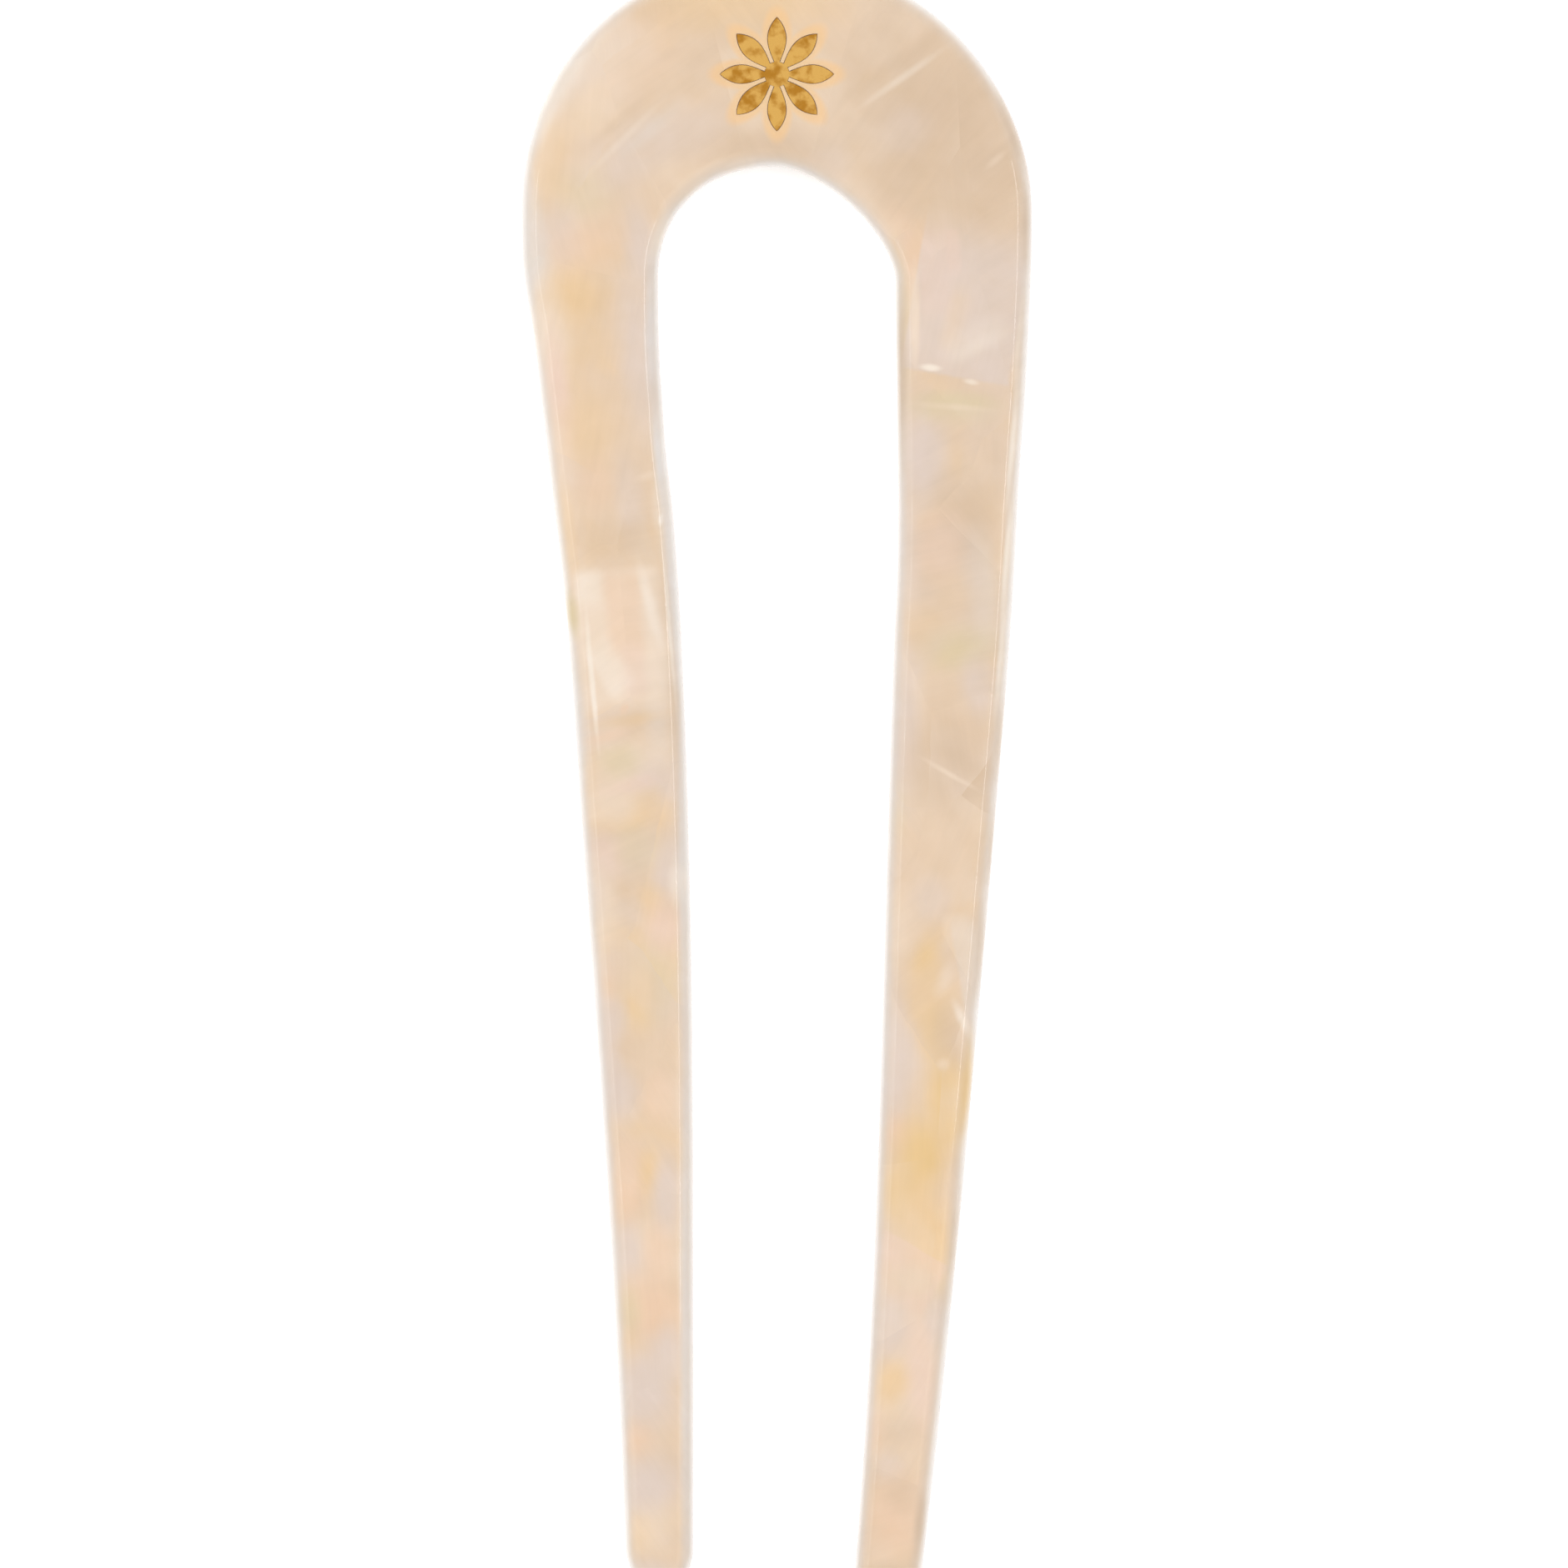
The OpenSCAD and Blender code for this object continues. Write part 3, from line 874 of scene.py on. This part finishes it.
def noise(net, place, size, detail=2.0, start=0.0, output="Fac", stretch=(1.0, 1.0, 1.0), roughness=0.5):
    """Soft noise whose features have a size in mm, longer along the axes that are stretched."""
    scaled = place * tuple(1 / s for s in stretch) + (start, start * 0.7, start * 0.3)
    inputs = {"Vector": scaled, "Scale": 1 / size, "Detail": detail, "Roughness": roughness}
    return net.out("ShaderNodeTexNoise", inputs, output)


def flow(net, place, broad, fine):
    """Places dragged towards +X, +Y and +Z, as the sheet flowed before it set.

    broad and fine are the most that the two noises drag them along each axis, in mm.
    """
    drag = noise(net, place, 9.0, 2.0, 11.0, "Color")
    ragged = noise(net, place, 1.1, 3.0, 31.0, "Color")
    return place + net.scaled((broad, broad, broad), drag) + net.scaled((fine, fine, fine), ragged)


class Marks:
    """Marks laid over a colour at the stamped face. Places turned by an angle are made once."""

    def __init__(self, net, place):
        self.net = net
        self.place = place
        self.turned = {}

    def local(self, x, y, half_w, half_h, turn, depth):
        """Places in the frame of a mark, in units of its half sizes."""
        turn = math.radians(TURN_STEP * round(turn / TURN_STEP))
        if turn not in self.turned:
            self.turned[turn] = self.net.out(
                "ShaderNodeVectorRotate", {"Vector": self.place, "Angle": -turn}, rotation_type="Z_AXIS"
            )
        middle_x = x * math.cos(turn) + y * math.sin(turn)
        middle_y = y * math.cos(turn) - x * math.sin(turn)
        scale = (1 / half_w, 1 / half_h, 1 / depth)
        start = (-middle_x / half_w, -middle_y / half_h, -SHEET_T / MM / depth)
        return self.net.vector_math("MULTIPLY_ADD", self.turned[turn], scale, start)

    def round_mask(self, x, y, half_w, half_h, turn, strength, softness, depth):
        """As strong as asked inside an ellipse that reaches into the sheet, fading to its rim."""
        far = self.net.vector_math("LENGTH", self.local(x, y, half_w, half_h, turn, depth))
        return self.net.smooth_step(far, 1.0 + softness / 2, 1.0 - softness, 0.0, strength)

    def flake_mask(self, x, y, half_w, half_h, turn, strength, softness, depth):
        """As strong as asked inside a box whose four sides fade over a width of their own."""
        net = self.net
        across, up, down = net.parts(self.local(x, y, half_w, half_h, turn, depth))
        left, right, bottom, top = softness
        mask = net.smooth_step(across, -1.0 - left / half_w, -1.0 + left / half_w)
        mask = mask * net.smooth_step(across, 1.0 + right / half_w, 1.0 - right / half_w)
        mask = mask * net.smooth_step(up, -1.0 - bottom / half_h, -1.0 + bottom / half_h)
        mask = mask * net.smooth_step(up, 1.0 + top / half_h, 1.0 - top / half_h)
        return mask * net.smooth_step(net.math("ABSOLUTE", down), 1.0, 0.6, 0.0, strength)


def cloudy_tones(net):
    """The soft clouds of tone in the sheet, at each point of its skin."""
    place = net.out("GeometryNodeInputPosition") * (1 / MM)
    flowing = flow(net, place, 0.75, 0.4)
    colour = (*TONES["sand"], 1.0)
    for tone, size, start, shown, full, strength in BROAD_CLOUDS:
        cloud = noise(net, flowing, size, 3.0, start)
        colour = masked_tone(net, colour, tone, net.smooth_step(cloud, shown, full, 0.0, strength))
    marks = Marks(net, flowing)
    for tone, x, y, half_w, half_h, turn, strength in CLOUDS:
        wide, high = half_w * CLOUD_SPREAD, half_h * CLOUD_SPREAD
        mask = marks.round_mask(x, y, wide, high, turn, strength, CLOUD_SOFTNESS, CLOUD_DEPTH)
        colour = masked_tone(net, colour, tone, mask)
    return colour


def lean_at_tip(form):
    """How far outward a leg's middle line moves for its drop, where its tip begins."""
    tip_start = form["end_y"] + TIP_ROUND
    before, last = form["leg"][-2:]
    lean = 0.0
    for edge in EDGES.values():
        column = edge["column"]
        slope = (last[column] - before[column]) / (last[0] - before[0])
        move = form["tip_x"] + edge["side"] * TIP_W - edge["width"] / 2
        lean += move * slope / (edge["foot"] - tip_start) / 2
    return lean


def pin_tree(rosette, material):
    """The whole pin: both halves from their edges, joined at the crown, with the rosette's bed."""
    net, given = new_geometry_tree(
        "french pin",
        [
            ("Crown width", NUMBER),
            ("Arch rise", NUMBER),
            ("Gap width", NUMBER),
            ("Shoulder", NUMBER),
            ("Arch foot", NUMBER),
            ("Tip width", NUMBER),
            ("Tip round", NUMBER),
            ("Thickness", NUMBER),
            ("Polish in at crown", NUMBER),
            ("Polish in at tip", NUMBER),
            ("Polish down", NUMBER),
            ("Rosette radius", NUMBER),
            ("Rosette middle", NUMBER),
            ("Petals", WHOLE),
            ("Petal width", NUMBER),
            ("Centre radius", NUMBER),
            ("Foil gap", NUMBER),
            ("Bed floor", NUMBER),
        ],
    )
    curves = {
        "outer": {
            "Half width": given["Crown width"] / 2.0,
            "Rise": given["Crown width"] / 2.0,
            "Foot": given["Shoulder"],
        },
        "inner": {
            "Half width": given["Gap width"] / 2.0,
            "Rise": given["Arch rise"],
            "Foot": given["Arch foot"],
        },
    }
    section_sizes = ("Thickness", "Polish in at crown", "Polish in at tip", "Polish down")
    section = {name: given[name] for name in section_sizes}
    half = half_tree()
    halves = net.node("GeometryNodeJoinGeometry")
    for side, form in SIDES.items():
        sign = float(form["sign"])
        made = {}
        for name, edge in EDGES.items():
            ends = {
                "Fullness": form[edge["fullness"]],
                "Tip middle": form["tip_x"],
                "Tip half": given["Tip width"] * edge["side"],
                "Tip start": form["end_y"] + TIP_ROUND,
                "Tip round": given["Tip round"],
                "Lean": lean_at_tip(form),
                "Sign": sign,
            }
            tree = edge_tree(f"{side} {name} edge", form["leg"], edge["column"])
            made[name] = use_tree(net, tree, curves[name] | ends)
        edges = {"Outer edge": made["outer"], "Inner edge": made["inner"], "Sign": sign}
        body = use_tree(net, half, edges | section)
        if sign > 0:
            body = net.out("GeometryNodeFlipFaces", {"Mesh": body})
        net.feed(halves.inputs[0], body)
    joined = Wire(net, halves.outputs[0])
    whole = net.out("GeometryNodeMergeByDistance", {"Geometry": joined, "Distance": HALVES_WELD})
    bed = use_tree(
        net,
        rosette,
        {
            "Radius": given["Rosette radius"],
            "Petals": given["Petals"],
            "Petal width": given["Petal width"],
            "Centre radius": given["Centre radius"],
            "Grow": given["Foil gap"],
            "Height": given["Thickness"] / 4.0,
            "Base": given["Bed floor"],
            "Middle": given["Rosette middle"],
        },
    )
    cut = net.node("GeometryNodeMeshBoolean", operation="DIFFERENCE", solver="EXACT")
    net.feed(cut.inputs["Mesh 1"], whole)
    net.feed(cut.inputs["Mesh 2"], bed)
    smooth = smooth_but_corners(net, Wire(net, cut.outputs[0]))
    toned = net.out(
        "GeometryNodeStoreNamedAttribute",
        {"Geometry": smooth, "Name": TONE, "Value": cloudy_tones(net)},
        data_type="FLOAT_COLOR",
        domain="POINT",
    )
    end_piece(net, toned, material)
    return net


def foil_tree(rosette, material):
    """The gold foil, a thin block in the form of the rosette."""
    net, given = new_geometry_tree(
        "gold foil",
        [
            ("Radius", NUMBER),
            ("Petals", WHOLE),
            ("Petal width", NUMBER),
            ("Centre radius", NUMBER),
            ("Height", NUMBER),
            ("Base", NUMBER),
            ("Middle", NUMBER),
        ],
    )
    block = use_tree(net, rosette, given | {"Grow": 0.0})
    end_piece(net, smooth_but_corners(net, block), material)
    return net


def chance_flakes(net, place, flowing, colour):
    """Lays the angular flakes that lie all through the sheet. Also returns each flake's chance."""
    cells = net.node(
        "ShaderNodeTexVoronoi",
        {"Vector": flowing * FLAKES_PER_MM, "Scale": 1.0, "Randomness": 1.0},
    )
    chance = Wire(net, cells.outputs["Color"])
    # They show in some parts of the sheet and not in others
    shown = net.smooth_step(noise(net, place, 6.0, 1.0, 71.0), 0.42, 0.6)
    for dealt, (tone, low, strength) in zip(net.parts(chance), CHANCE_FLAKES):
        mask = net.smooth_step(dealt, low, 0.9, 0.0, strength) * shown
        colour = masked_tone(net, colour, tone, mask)
    return colour, chance


def painted_edge_sheen(net, colour):
    """Lays a pale veil where the edges are polished round, a painted sheen that thins the flakes out
    there.

    On top lies a paler band, strongest in the turn of the polish and weaker on the sides: painted light
    that lifts the shade of the turn.
    """
    rounding = net.out("ShaderNodeAttribute", output="Fac", attribute_name=ROUNDING)
    colour = masked_tone(net, colour, "rim", net.smooth_step(rounding, 0.0, 0.6, 0.0, 0.5))
    painted_turn_light = net.smooth_step(rounding, 0.3, 0.8, 0.0, 0.65)
    on_sides = net.smooth_step(rounding, 1.0, 0.85, 0.35, 1.0)
    return masked_tone(net, colour, "pearl", painted_turn_light * on_sides)


def placed_flakes(marks, colour):
    """Lays the crisp flakes that have a place of their own."""
    for tone, x, y, half_w, half_h, turn, strength, *softness in FLAKES:
        mask = marks.flake_mask(x, y, half_w, half_h, turn, strength, softness, FLAKE_DEPTH)
        colour = masked_tone(marks.net, colour, tone, mask)
    return colour


def placed_streaks(marks, colour):
    """Lays the thin light and dark lines along the edges of flakes and of the polish; many of those along
    the polish are painted highlights, painted light and painted shade.
    """
    for tone, x, y, half_l, half_w, turn, strength, softness in STREAKS:
        wide = half_w * STREAK_SPREAD
        mask = marks.round_mask(x, y, half_l, wide, turn, strength, softness, STREAK_DEPTH)
        colour = masked_tone(marks.net, colour, tone, mask)
    return colour


def acetate_material():
    """Marbled pearl: clouds of tone, angular flakes with their own lie, and fine streaks, under gloss,
    with highlights, light, shade and sheen painted along the polished edges and the gold's light painted
    round the rosette.
    """
    material, net, shader = new_material("pearl acetate")
    place = net.out("ShaderNodeTexCoord", output="Object") * (1 / MM)
    flowing = flow(net, place, 0.25, 0.175)
    marks = Marks(net, flowing)

    colour = net.out("ShaderNodeAttribute", output="Color", attribute_name=TONE)
    colour, chance = chance_flakes(net, place, flowing, colour)
    colour = placed_flakes(marks, colour)
    # Painted sheen and painted light on the polished round
    colour = painted_edge_sheen(net, colour)
    colour = placed_streaks(marks, colour)

    # Silky streaks that run their own way in each flake
    heading = (net.parts(chance)[1] - 0.5) * 2.2 + 0.3
    turned = net.out(
        "ShaderNodeVectorRotate", {"Vector": flowing, "Angle": heading}, rotation_type="Z_AXIS"
    )
    fibre = noise(net, turned, 1.0, 3.0, 5.0, stretch=(0.45, 6.0, 2.0), roughness=0.6)
    silk = noise(net, turned, 1.0, 2.0, 47.0, stretch=(1.8, 9.0, 3.0))
    colour = net.scaled(colour, 1.0 + (fibre - 0.5) * 0.07 + (silk - 0.5) * 0.08)
    # Patches a little lighter and bluer than the rest, as pearl has
    play = noise(net, flowing, 1.6, 2.0, 91.0, "Color")
    colour = colour * (net.scaled(PLAY, play) + BODY_SHADE)
    # The gold's reflected light, painted warm round each petal
    colour = masked_tone(net, colour, "gold_bounce_tint", painted_gold_light(net, place))
    net.feed(shader.inputs["Base Color"], colour)

    # Each flake dips by its own small angle below the polish, all the same way, and wavers a little
    dip = net.scaled((0.16, 0.16, 0.0), chance)
    waver = net.scaled((0.11, 0.11, 0.0), noise(net, turned, 3.0, 2.0, 23.0, "Color"))
    level = net.out("ShaderNodeNewGeometry", output="Normal")
    net.feed(shader.inputs["Normal"], net.vector_math("NORMALIZE", level + (dip + waver)))

    swell = {"Height": noise(net, place, 5.0, 1.0, 13.0), "Strength": 0.25, "Distance": 0.06 * MM}
    net.feed(shader.inputs["Coat Normal"], net.out("ShaderNodeBump", swell, "Normal"))
    set_values(
        shader,
        {
            "Metallic": 0.12,
            "Roughness": 0.36,
            "Coat Weight": 1.0,
            "Coat Roughness": 0.035,
            "Coat IOR": 1.48,
            "Subsurface Weight": 0.25,
            "Subsurface Radius": (1.0, 0.9, 0.8),
            "Subsurface Scale": 1.2 * MM,
        },
    )
    return material


def painted_gold_light(net, place):
    """How much of the gold's reflected light is painted on the sheet, warm, within an oval round each
    petal.
    """
    x, y, _ = net.parts(place - (0.0, ROSETTE_Y / MM, 0.0))
    sector = net.math("PINGPONG", net.math("ARCTAN2", y, x), math.pi / PETALS)
    reach = net.math("SQRT", x * x + y * y)
    oval_middle = 0.58 * ROSETTE_R / MM
    oval_length = 0.52 * ROSETTE_R / MM
    oval_width = 0.72 * PETAL_W / MM
    along = (reach * net.cos(sector) - oval_middle) / oval_length
    off = reach * net.sin(sector) / oval_width
    return net.smooth_step(along * along + off * off, 1.9, 0.8, 0.0, 0.65)


def foil_material():
    """Hot-stamped gold: bright metal with a fine grain and a few worn, darker places."""
    material, net, shader = new_material("gold foil")
    place = net.out("ShaderNodeTexCoord", output="Object") * (1 / MM)
    bright = (*from_screen(240, 188, 100), 1.0)
    worn = (*from_screen(196, 136, 48), 1.0)
    patch = noise(net, place, 0.9, 3.0, 7.0)
    colour = net.mix(net.smooth_step(patch, 0.4, 0.65), bright, worn, "RGBA")
    net.feed(shader.inputs["Base Color"], colour)
    net.feed(shader.inputs["Roughness"], net.smooth_step(patch, 0.3, 0.7, 0.22, 0.38))

    press = {"Height": noise(net, place, 0.6, 2.0, 37.0), "Strength": 0.5, "Distance": 0.08 * MM}
    pressed = net.out("ShaderNodeBump", press, "Normal")
    grain = {"Height": noise(net, place, 0.09, 2.0, 19.0), "Strength": 0.35, "Distance": 0.02 * MM}
    net.feed(shader.inputs["Normal"], net.out("ShaderNodeBump", grain | {"Normal": pressed}, "Normal"))
    shader.inputs["Metallic"].default_value = 1.0
    return material


def table_material():
    """White card that glows a little, so that the pin casts next to no shadow on it."""
    material, _, shader = new_material("light table")
    set_values(
        shader,
        {
            "Base Color": (0.85, 0.85, 0.85, 1.0),
            "Roughness": 0.8,
            "Emission Color": (1.0, 1.0, 1.0, 1.0),
            "Emission Strength": 0.36,
        },
    )
    return material


def table_top(half):
    """A square table top at the height that the pin lies on. Half its width is in metres."""
    mesh = bpy.data.meshes.new("table")
    corners = [(-half, -half, 0), (half, -half, 0), (half, half, 0), (-half, half, 0)]
    mesh.from_pydata(corners, [], [(0, 1, 2, 3)])
    top = bpy.data.objects.new("table", mesh)
    bpy.context.collection.objects.link(top)
    mesh.materials.append(table_material())
    return top


def soft_light(name, place, size, power, colour=(1.0, 1.0, 1.0), in_gloss=True):
    """A soft box of a width and height in metres, turned towards the pin."""
    lamp = bpy.data.lights.new(name, "AREA")
    lamp.shape = "RECTANGLE"
    lamp.size, lamp.size_y = size
    lamp.energy = power
    lamp.color = colour
    box = bpy.data.objects.new(name, lamp)
    bpy.context.collection.objects.link(box)
    box.location = place
    box.rotation_euler = Vector(place).to_track_quat("Z", "Y").to_euler()
    box.visible_camera = False
    box.visible_glossy = in_gloss


acetate = acetate_material()
gold = foil_material()

rosette = rosette_tree()
pin = mesh_from_tree(
    "pearl_pin",
    pin_tree(rosette, acetate),
    {
        "Crown width": CROWN_W,
        "Arch rise": ARCH_RISE,
        "Gap width": GAP_W,
        "Shoulder": SHOULDER_Y,
        "Arch foot": ARCH_FOOT_Y,
        "Tip width": TIP_W,
        "Tip round": TIP_ROUND,
        "Thickness": SHEET_T,
        "Polish in at crown": POLISH_IN_CROWN,
        "Polish in at tip": POLISH_IN_TIP,
        "Polish down": POLISH_DOWN,
        "Rosette radius": ROSETTE_R,
        "Rosette middle": ROSETTE_Y,
        "Petals": PETALS,
        "Petal width": PETAL_W,
        "Centre radius": CENTRE_R,
        "Foil gap": FOIL_GAP,
        "Bed floor": BED_FLOOR,
    },
)
foil = mesh_from_tree(
    "gold_rosette",
    foil_tree(rosette, gold),
    {
        "Radius": ROSETTE_R,
        "Petals": PETALS,
        "Petal width": PETAL_W,
        "Centre radius": CENTRE_R,
        "Height": FOIL_T,
        "Base": FOIL_TOP - FOIL_T,
        "Middle": ROSETTE_Y,
    },
)
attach(pin, BODY)
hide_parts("pin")
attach(foil, BODY)
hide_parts("foil_rosette")

# The camera looks straight down on the pin, with the crown's top and the tips just out of frame
VIEW_MIDDLE = Vector((0.49, -0.02, 2.0)) * MM
VIEW_WIDTH = 108.3 * MM
VIEW_HEIGHT = 0.9
SENSOR_W = 36
camera = bpy.data.objects.new("camera", bpy.data.cameras.new("camera"))
bpy.context.collection.objects.link(camera)
camera.location = VIEW_MIDDLE + Vector((0, 0, VIEW_HEIGHT))
camera.data.sensor_width = SENSOR_W
camera.data.lens = SENSOR_W * VIEW_HEIGHT / VIEW_WIDTH
camera.data.clip_start = 0.01
scene = bpy.context.scene
scene.camera = camera
scene.view_settings.view_transform = "Standard"

# A white table under soft light
TABLE_HALF = 2.0
table = table_top(TABLE_HALF)
WARM = (1.0, 0.985, 0.96)
soft_light("left soft box", (-0.35, 0.25, 0.60), (0.4, 0.4), 1.6, WARM, in_gloss=False)
soft_light("right soft box", (0.35, 0.0, 0.60), (0.4, 0.4), 0.65, in_gloss=False)
soft_light("left strip", (-0.25, 0.012, 0.50), (0.18, 0.022), 0.05)
soft_light("right strip", (0.25, 0.028, 0.50), (0.18, 0.044), 0.10)

# The room is bright above and duller towards the horizon, which draws the polished edges
HORIZON_GLOW = 0.62
CEILING_GLOW = 0.84
world = bpy.data.worlds.new("studio")
scene.world = world
world.use_nodes = True
room = Net(world.node_tree)
_, _, upward = room.parts(room.out("ShaderNodeTexCoord", output="Generated"))
background = world.node_tree.nodes["Background"]
background.inputs["Color"].default_value = (1.0, 1.0, 1.0, 1.0)
glow = room.smooth_step(upward, -0.1, 0.75, HORIZON_GLOW, CEILING_GLOW)
room.feed(background.inputs["Strength"], glow)
